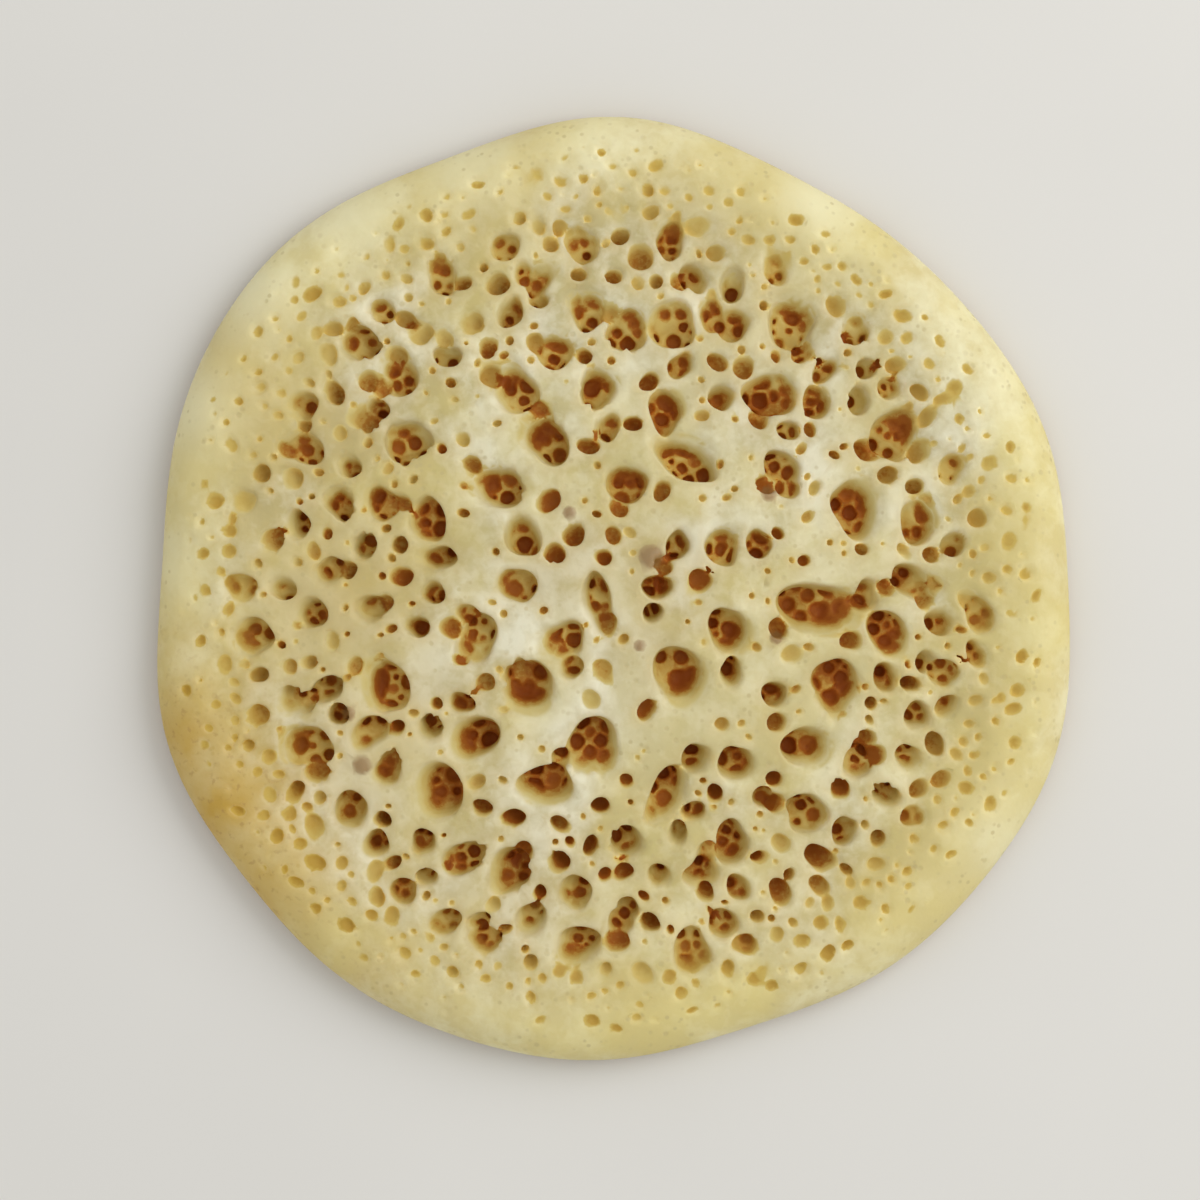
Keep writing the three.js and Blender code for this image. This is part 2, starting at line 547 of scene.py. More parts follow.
    def depth_of(self, pore: Pore, shallow: float, dice: Dice) -> Depth:
        """Chooses how far down a pore goes.

        Args:
            pore: The pore.
            shallow: Chance that it stays in the crumb.
            dice: Where the chances come from.

        Returns:
            The choice.
        """
        if dice.roll() < shallow:
            return Depth.SHALLOW
        wide = pore.mean_width > self.foam_width * dice.between(*self.foam_widths)
        return Depth.FOAM if wide else Depth.CHANNEL

    def sink(self, pore: Pore, shallow: float, dice: Dice) -> None:
        """Gives a pore its depth, its floor and how brown it is.

        Args:
            pore: The pore to sink.
            shallow: Chance that it stays in the crumb.
            dice: Where the chances come from.
        """
        habits, width = self.habits, pore.mean_width
        wet = math.cos(math.atan2(pore.y, pore.x) - habits.wettest_side)
        wet *= habits.wetter * float(smoothstep(pore.share, *habits.wet_ring))
        border = float(smoothstep(pore.share, *habits.border))
        depths = {
            Depth.FOAM: habits.foam_depth + dice.between(*habits.foam_varies),
            Depth.CHANNEL: habits.channel.roll(width, dice),
            Depth.SHALLOW: habits.shallow.roll(width, dice),
        }
        tones = {depth: dice.between(*span) for depth, span in habits.tones}
        pore.depth = self.depth_of(pore, shallow, dice)
        down = (1 + habits.wet_depth * wet) * depths[pore.depth]
        skin = float(self.batter.skin_height(pore.x, pore.y))
        pore.floor = skin - lerp(down, habits.dimple.usual(width), border)
        pore.tone = lerp(tones[pore.depth], dice.between(*habits.border_tones), border)
        pore.tone *= 1 + wet
        pore.tone *= 1 - habits.paler * float(smoothstep(pore.share, *habits.paler_ring))
        pore.lip = habits.lip.usual(width) * lerp(1, habits.border_lip, border)

    def shape(self, pore: Pore, dice: Dice) -> None:
        """Gives a sunk pore its slope, its lean and its uneven mouth.

        Args:
            pore: The pore to shape.
            dice: Where the chances come from.
        """
        habits, width = self.habits, pore.mean_width
        pore.slope = habits.slope.roll(width, dice)
        pore.lean = habits.lean * (habits.lean_inside + pore.share)
        pore.lean *= dice.between(*habits.leans)
        foam = pore.depth is Depth.FOAM
        steeper = habits.foam_steeper if foam else habits.cell_steeper
        outwards = float(smoothstep(pore.share, *habits.outer_ring))
        pore.tilt = dice.between(*habits.tilts) + steeper * outwards
        pore.heading = math.atan2(pore.y, pore.x) + dice.between(*habits.headings)
        pore.flare = habits.flare.roll(width, dice)
        pore.ragged = dice.roll() < habits.torn and width > habits.torn_from
        uneven = min(1.0, max(habits.least_uneven, width / habits.uneven_from))
        pore.wobble = tuple(
            (waves, uneven * size * dice.between(*habits.wave_sizes), dice.turn())
            for waves, size in habits.waves
        )

    def raise_blisters(self) -> None:
        """Puts each bubble that never burst in the nearest room to its own place."""
        for dome in self.domes:
            out = dome.share * self.batter.mean_radius
            x, y = polar(out, math.radians(dome.degrees))
            for step in range(self.dome_tries):
                off = self.dome_stray * math.sqrt(step)
                dx, dy = polar(off, step * GOLDEN_ANGLE)
                blister = self.place(x + dx, y + dy, dome.width, dome.width, 0.0)
                if self.room(blister) > self.dome_wall:
                    self.blisters.append(blister)
                    break

    def lay_out(self) -> list[Pore]:
        """Puts every pore down and shapes it.

        Returns:
            All the pores, the largest first.
        """
        self.lay_out_wells()
        stray = Dice(self.stray_seed)
        for kind in self.wide_kinds:
            self.scatter(kind, stray)
        look = Dice(self.look_seed)
        for pore in self.pores:
            deep = pore.mean_width >= self.always_deep
            self.sink(pore, 0.0 if deep else self.wide_shallow, look)
            self.shape(pore, look)
        LOG.info("%d wide pores", len(self.pores))
        self.raise_blisters()
        for kind in self.small_kinds:
            before = len(self.pores)
            self.scatter(kind, look)
            burst = []
            for pore in self.pores[before:]:
                if look.roll() < self.crowding(pore.share):
                    self.sink(pore, kind.shallow, look)
                    self.shape(pore, look)
                    burst.append(pore)
            self.pores[before:] = burst
            LOG.info("%d %s pores", len(burst), kind.name)
        return self.pores


@dataclass
class Tear:
    """A ragged crack in the skin, run out from a pore's lip in short crooked steps."""

    joints: list[Spot]
    width: float
    depth: float


@dataclass
class TearField:
    """The cracks that opened where the skin between two bubbles was thin."""

    seed: int = 41
    count: int = 46
    start: float = 0.42
    step: float = 0.26
    kink: float = 1.8
    fewest_steps: int = 3
    more_steps: int = 6
    fork_from: int = 2
    fork: float = 0.6
    widths: Span = (0.22, 0.38)
    depths: Span = (0.9, 1.5)
    outer: float = 0.8
    narrowest_pore: float = 1.6

    def run(self, pore: Pore, other: Pore, dice: Dice) -> Tear:
        """One crooked crack out from a pore towards the one next to it.

        Args:
            pore: The pore that it starts from.
            other: The pore that it runs towards.
            dice: Where the chances come from.

        Returns:
            The crack.
        """
        heading = math.atan2(other.y - pore.y, other.x - pore.x)
        dx, dy = polar(self.start * pore.mean_width, heading)
        joints = [(pore.x + dx, pore.y + dy)]
        for _ in range(self.fewest_steps + int(self.more_steps * dice.roll())):
            kink = heading + dice.between(-self.kink, self.kink)
            dx, dy = polar(self.step, kink)
            joints.append((joints[-1][0] + dx, joints[-1][1] + dy))
        return Tear(joints, dice.between(*self.widths), dice.between(*self.depths))

    def lay_out(self, pores: list[Pore]) -> list[Tear]:
        """Chooses the pores that tore, and runs their cracks.

        Args:
            pores: Every pore.

        Returns:
            The cracks, each followed by a shorter one that forks from it.
        """
        dice = Dice(self.seed)
        wide = [
            pore
            for pore in pores
            if pore.share < self.outer and pore.width > self.narrowest_pore
        ]
        tears = []
        while len(tears) < self.count:
            pore = wide.pop(int(dice.roll() * len(wide)))
            other = min(wide, key=lambda o: math.hypot(o.x - pore.x, o.y - pore.y))
            tear = self.run(pore, other, dice)
            x, y = tear.joints[self.fork_from]
            dx, dy = polar(self.fork, dice.turn())
            fork = Tear([(x, y), (x + dx, y + dy)], tear.width, tear.depth)
            tears += [tear, fork]
        return tears


@dataclass
class Crumb:
    """The foam of cells in the floors of the wide pores, parted by thin walls."""

    batter: Batter
    seed: int = 19
    widths: tuple[float, ...] = (1.4, 1.2, 1.0, 0.8, 0.65, 0.5)
    width_varies: Span = (0.85, 1.15)
    fine_under: float = 1.1
    fine_outer: float = 0.88
    coarse_outer: float = 0.56
    tries: int = 2600
    wall: float = 0.36
    clearance: float = 0.8
    swell: float = 0.2
    depth: float = 0.9
    depth_varies: Span = (0.2, 1.0)
    look_beyond: float = 3.0

    def __post_init__(self) -> None:
        """Packs cells over the middle of the pancake, the widest first."""
        chance = np.random.default_rng(self.seed)
        self.cells = np.empty((0, 4))
        for width in self.widths:
            outer = self.fine_outer if width < self.fine_under else self.coarse_outer
            reach = outer * self.batter.mean_radius
            for x, y in chance.uniform(-reach, reach, (self.tries, 2)):
                radius = width / 2 * chance.uniform(*self.width_varies)
                gap = np.hypot(self.cells[:, 0] - x, self.cells[:, 1] - y)
                least = radius + self.cells[:, 2] + self.clearance * self.wall
                if math.hypot(x, y) < reach and (gap > least).all():
                    drop = self.depth * math.sqrt(chance.uniform(*self.depth_varies))
                    self.cells = np.vstack((self.cells, (x, y, radius, drop)))

    def foam(self, x: Grid, y: Grid) -> tuple[Grid, Grid]:
        """The cells under a few square millimetres of the pancake.

        Args:
            x: Places along X.
            y: Places along Y.

        Returns:
            The distance to the nearest cell's wall at every place, negative inside the
            cell, and how deep that cell is.
        """
        reach = np.ptp(x) + np.ptp(y) + self.look_beyond
        off = np.hypot(self.cells[:, 0] - x.mean(), self.cells[:, 1] - y.mean())
        near = self.cells[off < reach]
        gaps = np.array([np.hypot(x - cx, y - cy) - r for cx, cy, r, _ in near])
        first, second = np.partition(gaps, 1, axis=0)[:2]
        between = (first - second + self.wall) / 2
        drop = near[gaps.argmin(axis=0), 3]
        return np.maximum(between, first - self.swell * drop), drop


@dataclass(frozen=True)
class Ripples:
    """Small uneven waves of the skin, from many short ones laid over each other."""

    seed: int = 5
    count: int = 36
    spacings: Span = (2.5, 9.0)
    steepness: float = 0.0035

    def lift(self, x: Grid, y: Grid) -> Grid:
        """How far the skin stands above or below its broad swells.

        Args:
            x: Places along X.
            y: Places along Y.

        Returns:
            The height to add at each place.
        """
        chance = np.random.default_rng(self.seed)
        total = np.zeros_like(x)
        for _ in range(self.count):
            spacing = chance.uniform(*self.spacings)
            heading, phase = chance.uniform(0, math.tau, 2)
            along = advance(x, y, heading)
            wave = np.sin(math.tau * along / spacing + phase)
            total += self.steepness * spacing * wave
        return total


@dataclass
class Block:
    """A block of small cubes that holds the dough as distances to its surface.

    Its flat notes say, for each column, how far down the pore's floor is, how fast the
    dough browns down to it and below it, and how near the wall of a cell is, for the
    painted shade round the cells.
    """

    batter: Batter
    blisters: list[Pore]
    ripples: Ripples = Ripples()
    blister_rise: float = 0.3
    step: float = 0.2
    margin: float = 1.0
    ceiling: float = 7.4
    widest: float = 1.06

    side_room: float = 0.8
    length_room: float = 0.75
    room_under: float = 1.6
    lip_room: float = 0.04
    flared: Span = (0.25, 1.05)
    foot_share: float = 0.88
    foot_belly: float = 0.12
    foot_rise: Span = (0.0, 0.35)
    torn_rise: Span = (0.5, 0.95)
    torn_side: Span = (-0.1, 0.9)
    teeth: tuple[tuple[float, int], ...] = ((0.09, 7), (0.08, 12))
    foot_per_width: float = 0.36
    slope_side: Span = (-0.2, 0.9)
    off_middle: float = 0.01

    foam_under: float = 0.9
    foam_foot: float = 0.35
    cell_inset: float = 0.05
    cell_round: float = 0.2
    cell_foot: float = 0.4
    cell_top: float = 0.7
    cell_lip: float = 0.22
    cell_richness: float = 2.8
    # Painted shade in the cells: their edges browner than their cores, and the floor
    # round each cell darkened.
    lit_core: float = 0.27
    core: Span = (0.05, 0.4)
    halo: Span = (0.7, 0.0)

    shallow_wall: float = 0.9
    channel_wall: float = 0.6
    floor_richness: float = 0.4
    richest: float = 3.5
    claimed: float = 0.3

    crack_taper: float = 1.2
    crack_beats: Span = (0.6, 1.4)
    crack_room: float = 0.8
    crack_under: float = 0.5
    crack_side: float = 0.2
    crack_richness: float = 2.3
    crack_lip: float = 0.06

    def __post_init__(self) -> None:
        """Fills the block with the whole round."""
        reach = self.batter.mean_radius * self.widest + self.margin
        self.x = np.arange(-reach, reach, self.step)
        self.y = self.x.copy()
        self.z = np.arange(-self.margin + self.step / 2, self.ceiling, self.step)
        x, y = np.meshgrid(self.x, self.y, indexing="ij")
        self.skin = self.batter.skin_height(x, y) + self.ripples.lift(x, y)
        for spot in self.blisters:
            away = 2 * np.hypot(x - spot.x, y - spot.y) / spot.width
            self.skin += self.blister_rise * np.maximum(1 - away**2, 0.0)
        self.dough = self.batter.solid(x, y, self.z, self.skin)
        self.inside = np.full_like(self.skin, self.margin)
        self.notes = {
            "floor": np.full_like(self.skin, self.ceiling),
            "rich": np.ones_like(self.skin),
            "deeper": np.full_like(self.skin, self.floor_richness),
            "halo": np.zeros_like(self.skin),
        }

    def window(self, low: tuple[float, ...], high: tuple[float, ...]) -> tuple:
        """The part of the block between two corners.

        Args:
            low: Lowest corner.
            high: Highest corner.

        Returns:
            Three slices, and the places along X, Y and Z that they cover.
        """
        cuts = tuple(
            slice(*np.searchsorted(axis, (a, b)))
            for axis, a, b in zip((self.x, self.y, self.z), low, high)
        )
        x = self.x[cuts[0]][:, None, None]
        y = self.y[cuts[1]][None, :, None]
        return cuts, x, y, self.z[cuts[2]][None, None, :]

    def note(self, cuts: tuple, own: Grid, **values: Grid | float) -> None:
        """Writes down what the finish needs to know about some columns.

        Args:
            cuts: The slices of the block that they lie in.
            own: Which of the columns in those slices they are.
            **values: What to write in each note, by its name.
        """
        for name, value in values.items():
            self.notes[name][cuts[:2]][own] = value[own] if np.ndim(value) else value

    def side(self, pore: Pore, skin: float, places: tuple[Grid, Grid, Grid]) -> Grid:
        """Distance to the side of a pore that leans, flares and has an uneven mouth.

        Args:
            pore: The pore, shaped.
            skin: Height of the skin at its mouth.
            places: Places along X, Y and Z.

        Returns:
            The distance, negative inside the pore.
        """
        x, y, z = places
        rise = (z - pore.floor) / (skin - pore.floor)
        tight = pore.flare * (1 - smoothstep(rise, *self.flared))
        shift = pore.lean * (z - skin) - tight
        dx = x - pore.x - shift * math.cos(pore.heading)
        dy = y - pore.y - shift * math.sin(pore.heading)
        belly = self.foot_share + self.foot_belly * smoothstep(rise, *self.foot_rise)
        room = self.lip_room - tight
        half_long = pore.length / 2 * belly + room
        half_wide = pore.width / 2 * belly + room
        along = advance(dx, dy, pore.turn) / half_long
        across = (dy * math.cos(pore.turn) - dx * math.sin(pore.turn)) / half_wide
        out, bearing = np.hypot(along, across), np.arctan2(across, along)
        uneven = np.ones_like(out)
        for waves, size, phase in pore.wobble:
            uneven += size * np.cos(waves * bearing + phase)
        if pore.ragged:
            first, *others = (phase for _, _, phase in pore.wobble)
            torn = smoothstep(rise, *self.torn_rise)
            torn = torn * smoothstep(np.cos(bearing - first), *self.torn_side)
            for (size, waves), phase in zip(self.teeth, others):
                uneven += size * torn * np.cos(waves * bearing + phase)
        return (out / uneven - 1.0) * (half_long + half_wide) / 2

    def hollow(self, pore: Pore, crumb: Crumb) -> None:
        """Takes one pore out of the dough, with the cells in its floor.

        Args:
            pore: The pore, shaped.
            crumb: The foam of cells under it.
        """
        skin = float(self.batter.skin_height(pore.x, pore.y))
        drop = skin - pore.floor
        reach = self.length_room * pore.length + pore.lean * drop
        reach = reach + pore.slope + self.side_room
        bottom = pore.floor - crumb.depth - self.room_under
        cuts, x, y, z = self.window(
            (pore.x - reach, pore.y - reach, bottom),
            (pore.x + reach, pore.y + reach, self.ceiling),
        )
        ahead = advance(x - pore.x, y - pore.y, pore.heading)
        floor = pore.floor + pore.tilt * np.clip(ahead, -pore.width / 2, pore.width / 2)
        side = self.side(pore, skin, (x, y, z))
        inside = np.where((z > pore.floor) & (z < skin), side, self.margin).min(axis=-1)
        own = inside < np.minimum(self.inside[cuts[:2]], self.claimed)
        self.inside[cuts[:2]][own] = inside[own]
        dough = self.dough[cuts]
        if pore.depth is Depth.FOAM and drop > self.foam_under:
            foot = self.foam_foot
            foam, drops = crumb.foam(x[..., 0], y[..., 0])
            cell = meet_round(foam[..., None], side + self.cell_inset, self.cell_round)
            cell = meet_round(cell, floor - drops[..., None] - z, self.cell_foot)
            cell = np.maximum(cell, z - floor - self.cell_top)
            dough = meet_round(dough, -cell, self.cell_lip)
            # Painted shade: the cells brown faster by their walls than in their cores.
            paler = 1 - self.lit_core * smoothstep(-foam, *self.core)
            self.note(
                cuts,
                own,
                floor=skin - floor[..., 0],
                rich=min(pore.tone / drop, self.richest),
                deeper=self.cell_richness * paler,
                halo=smoothstep(foam, *self.halo),
            )
        else:
            foot = self.foot_per_width * pore.width
            channel = pore.depth is Depth.CHANNEL
            wall = drop * (self.channel_wall if channel else self.shallow_wall)
            rich = min(pore.tone / wall, self.richest)
            deeper = self.floor_richness
            self.note(cuts, own, floor=wall, rich=rich, deeper=deeper, halo=0.0)
        hole = meet_round(side, floor - z, foot)
        facing = ahead / (np.hypot(x - pore.x, y - pore.y) + self.off_middle)
        lip = lerp(pore.lip, pore.slope, smoothstep(facing, *self.slope_side))
        self.dough[cuts] = meet_round(dough, -hole, lip)

    def crack(self, tear: Tear) -> None:
        """Takes one crack out of the dough, narrower at each step.

        Args:
            tear: The crack.
        """
        joints = tear.joints
        for step, (a, b) in enumerate(zip(joints, joints[1:])):
            half = tear.width / 2 * (self.crack_taper - step / len(joints))
            half *= self.crack_beats[step % 2]
            low = [min(a[n], b[n]) - self.crack_room for n in (0, 1)]
            high = [max(a[n], b[n]) + self.crack_room for n in (0, 1)]
            foot = float(self.batter.skin_height(*a)) - tear.depth
            bottom = foot - self.crack_under
            cuts, x, y, z = self.window((*low, bottom), (*high, self.ceiling))
            run = (b[0] - a[0], b[1] - a[1])
            share = ((x - a[0]) * run[0] + (y - a[1]) * run[1]) / math.hypot(*run) ** 2
            share = np.clip(share, 0.0, 1.0)
            away = np.hypot(x - a[0] - share * run[0], y - a[1] - share * run[1])
            near = away[..., 0] < half + self.crack_side
            self.note(cuts, near, rich=self.crack_richness)
            gap = np.maximum(away - half, foot - z)
            self.dough[cuts] = meet_round(self.dough[cuts], -gap, self.crack_lip)


@dataclass
class Skin:
    """The mesh drawn over a block where the dough meets the air."""

    block: Block
    most_faces: int = 190_000

    def draw(self) -> tuple[Grid, Grid]:
        """Draws a closed net of quads over the dough.

        Returns:
            The points in millimetres, and four point numbers for each quad.
        """
        solid = self.block.dough < 0
        cube = [(i, j, k) for i in (0, 1) for j in (0, 1) for k in (0, 1)]
        nx, ny, nz = (n - 1 for n in solid.shape)
        full = np.zeros((nx, ny, nz), np.uint8)
        for i, j, k in cube:
            full += solid[i : i + nx, j : j + ny, k : k + nz]
        where = np.nonzero((full > 0) & (full < len(cube)))
        numbers = np.full(full.shape, -1, np.int32)
        numbers[where] = np.arange(len(where[0]), dtype=np.int32)
        quads = [self.bridge(solid, numbers, axis) for axis in range(3)]
        return self.settle(where, cube), np.concatenate(quads)

    def settle(self, where: tuple, cube: list[tuple[int, int, int]]) -> Grid:
        """Puts each net point in the middle of the crossings on its cube's edges.

        Args:
            where: The cubes that the surface goes through.
            cube: The eight corners of a cube.

        Returns:
            The points in millimetres.
        """
        block, (i, j, k) = self.block, where
        values = [block.dough[i + di, j + dj, k + dk] for di, dj, dk in cube]
        total = np.zeros((len(i), 3), np.float32)
        count = np.zeros(len(i), np.float32)
        for a, start in enumerate(cube):
            for b, end in enumerate(cube):
                if a < b and sum(abs(s - e) for s, e in zip(start, end)) == 1:
                    crossed = (values[a] < 0) != (values[b] < 0)
                    first, last = values[a][crossed], values[b][crossed]
                    share = (first / (first - last))[:, None]
                    step = np.array(end, np.float32) - np.array(start, np.float32)
                    total[crossed] += np.array(start, np.float32) + share * step
                    count[crossed] += 1
        places = np.stack(where, 1) + total / count[:, None]
        return places * block.step + np.array((block.x[0], block.y[0], block.z[0]))

    @staticmethod
    def bridge(solid: Grid, numbers: Grid, axis: int) -> Grid:
        """Joins the four cubes round each edge along one axis that the surface crosses.

        Args:
            solid: Whether each place is dough.
            numbers: The net point's number in each cube, or -1.
            axis: The axis that the edges run along.

        Returns:
            Four point numbers for each quad, facing out of the dough.
        """
        solid, numbers = np.moveaxis(solid, axis, 0), np.moveaxis(numbers, axis, 0)
        here, there = solid[:-1, 1:-1, 1:-1], solid[1:, 1:-1, 1:-1]
        i, j, k = np.nonzero(here != there)
        ring = ((0, 0), (1, 0), (1, 1), (0, 1))
        quads = np.stack([numbers[i, j + dj, k + dk] for dj, dk in ring], 1)
        turned = ~here[i, j, k] if axis != 1 else here[i, j, k]
        quads[turned] = quads[turned][:, ::-1]
        return quads

    @staticmethod
    def largest(points: Grid, quads: Grid) -> tuple[Grid, Grid]:
        """Keeps the largest piece of a net, and drops crumbs that hang free.

        Args:
            points: The net's points.
            quads: Its quads.

        Returns:
            The points and quads of that piece.
        """
        label = np.arange(len(points))
        pairs = np.concatenate([quads[:, (n, (n + 1) % 4)] for n in range(4)])
        settled = False
        while not settled:
            before = label.copy()
            low = np.minimum(label[pairs[:, 0]], label[pairs[:, 1]])
            np.minimum.at(label, pairs[:, 0], low)
            np.minimum.at(label, pairs[:, 1], low)
            label = label[label]
            settled = (label == before).all()
        kept = label == np.bincount(label).argmax()
        renumbered = np.cumsum(kept) - 1
        return points[kept], renumbered[quads[kept[quads[:, 0]]]]

    @staticmethod
    def places(mesh: bpy.types.Mesh) -> Grid:
        """Where each point of a mesh is.

        Args:
            mesh: The mesh.

        Returns:
            Three numbers in metres for each point.
        """
        places = np.empty(len(mesh.vertices) * 3, np.float32)
        mesh.vertices.foreach_get("co", places)
        return places.reshape(-1, 3)

    def mesh(self, name: str, shift: Vector) -> bpy.types.Mesh:
        """Makes the mesh, in metres, with few enough faces to store.

        Args:
            name: The mesh's name.
            shift: From the block's own origin to the frame's, in metres.

        Returns:
            The mesh.
        """
        points, quads = self.largest(*self.draw())
        LOG.info("net of %d quads", len(quads))
        raw = bpy.data.meshes.new("net")
        raw.vertices.add(len(points))
        raw.vertices.foreach_set("co", (points * MM + np.array(shift)).ravel())
        raw.loops.add(quads.size)
        raw.loops.foreach_set("vertex_index", quads.ravel())
        raw.polygons.add(len(quads))
        raw.polygons.foreach_set("loop_start", np.arange(0, quads.size, 4))
        raw.update(calc_edges=True)
        carrier = put("net", raw)
        thin = carrier.modifiers.new("thin", "DECIMATE")
        thin.ratio = min(1.0, self.most_faces / (2 * len(quads)))
        graph = bpy.context.evaluated_depsgraph_get()
        mesh = bpy.data.meshes.new_from_object(carrier.evaluated_get(graph))
        bpy.data.objects.remove(carrier)
        mesh.name = name
        boxed = np.clip(self.places(mesh), *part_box("pancake"))
        mesh.vertices.foreach_set("co", boxed.ravel())
        mesh.polygons.foreach_set("use_smooth", np.ones(len(mesh.polygons), bool))
        LOG.info("mesh of %d faces", len(mesh.polygons))
        return mesh


def paint(red: int, green: int, blue: int) -> Colour:
    """A screen colour of 0 to 255 as the linear one that shaders mix.

    Args:
        red: Red of the screen colour.
        green: Green of the screen colour.
        blue: Blue of the screen colour.

    Returns:
        The linear colour.
    """

    def straight(value: float) -> float:
        """One channel made linear."""
        value /= 255
        return value / 12.92 if value <= 0.04045 else ((value + 0.055) / 1.055) ** 2.4

    return straight(red), straight(green), straight(blue)


class Value:
    """A number or a colour that one of a material's nodes gives out."""

    def __init__(self, nodes: "Wiring", socket: bpy.types.NodeSocket) -> None:
        """Keeps the socket, and the wiring that it belongs to."""
        self.nodes, self.socket = nodes, socket

    def math(self, operation: str, other: "Value | float") -> "Value":
        """This value and another, joined by one of the Math node's operations."""
        return self.nodes.add("Math", 0, {0: self, 1: other}, operation=operation)

    def __add__(self, other: "Value | float") -> "Value":
        """The sum of the two."""
        return self.math("ADD", other)

    def __sub__(self, other: "Value | float") -> "Value":
        """This one less the other."""
        return self.math("SUBTRACT", other)

    def __mul__(self, other: "Value | float") -> "Value":
        """The product of the two."""
        return self.math("MULTIPLY", other)

    def rise(self, low: float, high: float) -> "Value":
        """Its smooth rise from 0 at low to 1 at high, or its fall if low is higher."""
        ends = {"Value": self, "From Min": low, "From Max": high}
        return self.nodes.add("MapRange", "Result", ends, interpolation_type="SMOOTHSTEP")


Feed = Value | Colour | float


@dataclass(frozen=True)
class Clouds:
    """Cloudy noise: its size in millimetres, finer layers, distortion and levels."""

    spacing: float
    detail: float
    stretch: float = 0.0
    levels: Span | None = None


@dataclass(frozen=True)
class Specks:
    """Scattered round specks: how far apart in millimetres, their edge and core."""

    spacing: float
    edge: float
    core: float


class Wiring:
    """The nodes of one material, joined as they are made."""

    def __init__(self, name: str) -> None:
        """Starts a material with a Principled shader and an output.

        Args:
            name: The material's name.
        """
        self.material = bpy.data.materials.new(name)
        self.material.use_nodes = True
        self.tree = self.material.node_tree
        self.shader = self.tree.nodes["Principled BSDF"]
        self.place = self.add("TexCoord", "Object", {})

    def feed(self, socket: bpy.types.NodeSocket, value: Feed) -> None:
        """Joins a socket to a node's value, or sets it to a plain one.

        Args:
            socket: The input socket.
            value: What goes into it.
        """
        if isinstance(value, Value):
            self.tree.links.new(value.socket, socket)
        elif isinstance(value, tuple) and socket.type == "RGBA":
            socket.default_value = (*value, 1.0)
        else:
            socket.default_value = value

    def add(
        self, kind: str, output: str | int, inputs: dict[str | int, Feed], **settings: str
    ) -> Value:
        """Adds a node.

        Args:
            kind: Its type, without the prefix.
            output: Which of its outputs to give back.
            inputs: What goes into its sockets.
            **settings: Its own settings.

        Returns:
            The output's value.
        """
        node = self.tree.nodes.new(f"ShaderNode{kind}")
        for name, setting in settings.items():
            setattr(node, name, setting)
        for name, value in inputs.items():
            self.feed(node.inputs[name], value)
        return Value(self, node.outputs[output])

    def attribute(self, name: str) -> Value:
        """A number stored on the mesh."""
        return self.add("Attribute", "Fac", {}, attribute_name=name)

    def mix(self, share: Feed, a: Feed, b: Feed) -> Value:
        """A colour a share of the way from a to b."""
        return self.add("Mix", 2, {"Factor": share, 6: a, 7: b}, data_type="RGBA")

    def clouds(self, clouds: Clouds) -> Value:
        """Cloudy noise, as it is or rising from 0 to 1 between two of its levels.

        Args:
            clouds: What it is like.

        Returns:
            The noise, from 0 to 1.
        """
        inputs = {
            "Vector": self.place,
            "Scale": 1 / (clouds.spacing * MM),
            "Detail": clouds.detail,
            "Distortion": clouds.stretch,
        }
        noise = self.add("TexNoise", "Fac", inputs)
        return noise.rise(*clouds.levels) if clouds.levels else noise

    def specks(self, specks: Specks) -> Value:
        """Scattered specks, from 0 at their edge to 1 at their core."""
        inputs = {"Vector": self.place, "Scale": 1 / (specks.spacing * MM)}
        return self.add("TexVoronoi", "Distance", inputs).rise(specks.edge, specks.core)

    def steps(self, value: Value, stops: Stops) -> Value:
        """A colour that goes smoothly through several, from height to height.

        Args:
            value: The height.
            stops: Each height in millimetres with its colour, the lowest first.

        Returns:
            The colour.
        """
        tallest = stops[-1][0]
        steps = self.add("ValToRGB", "Color", {"Fac": value.math("DIVIDE", tallest)})
        ramp = steps.socket.node.color_ramp
        ramp.interpolation = "EASE"
        while len(ramp.elements) < len(stops):
            ramp.elements.new(0.5)
        for point, (height, colour) in zip(ramp.elements, stops):
            point.position = height / tallest
            point.color = (*colour, 1.0)
        return steps

    def dress(self, inputs: dict[str, Feed]) -> bpy.types.Material:
        """Feeds the shader, and gives the material back.

        Args:
            inputs: What goes into the shader's sockets.

        Returns:
            The material.
        """
        for name, value in inputs.items():
            self.feed(self.shader.inputs[name], value)
        return self.material


